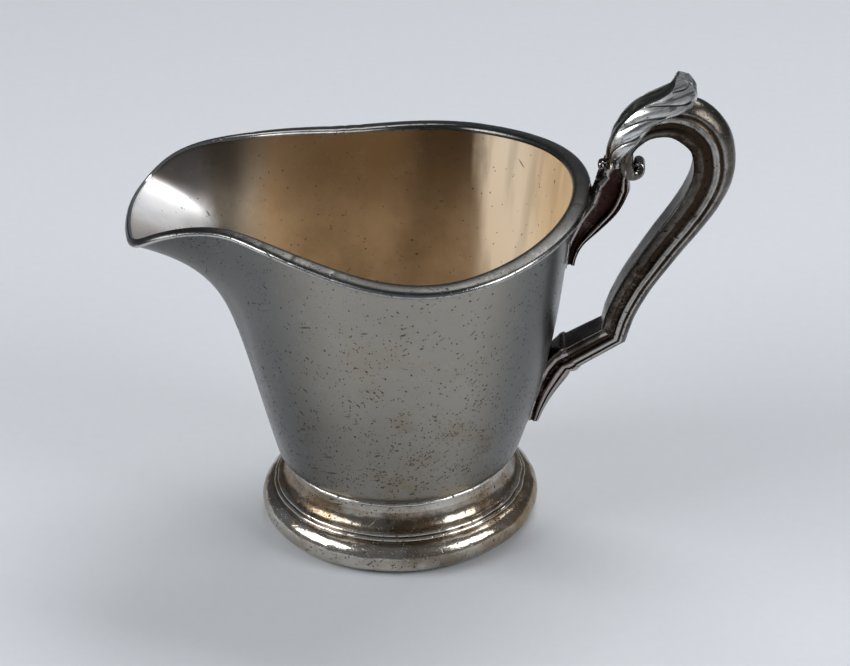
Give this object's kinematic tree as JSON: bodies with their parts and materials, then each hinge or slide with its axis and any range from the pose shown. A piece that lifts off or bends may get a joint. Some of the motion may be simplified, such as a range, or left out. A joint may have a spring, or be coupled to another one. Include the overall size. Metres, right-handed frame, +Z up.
{
  "type": "cream jug",
  "caption": "Small footed cream jug with a broad dished pouring lip, an applied rim border, a spun pedestal foot and a cast scroll handle with a leaf thumb rest.",
  "frame": {"origin": "centre of the foot's ring where it stands on the table", "axes": "+Z up, +X from the bowl's axis towards the handle, -X towards the pouring lip, y = 0 is the mirror plane"},
  "size_m": [0.1267, 0.0794, 0.1027],
  "materials": {
    "worn_plate": "worn silver plate, semi-gloss, pitted and faintly scratched",
    "rim_plate": "worn silver plate, rubbed bright on the edges",
    "foot_plate": "glossy worn silver plate with brown tarnish in the hollows",
    "cast_plate": "glossy dark tarnished silver plate, brown-black in the grooves",
    "leaf_plate": "glossy silver plate, bright on the veins and dark between them",
    "solder": "dull plated solder"
  },
  "bodies": {
    "root": {"body_shell": "worn_plate", "rim_border": "rim_plate", "foot_pedestal": "foot_plate", "foot_seam_solder": "solder", "handle_scroll": "cast_plate", "handle_leaf": "leaf_plate", "upper_bracket": "cast_plate", "lower_bracket": "cast_plate", "upper_solder": "solder", "lower_solder": "solder"}
  },
  "joints": []
}
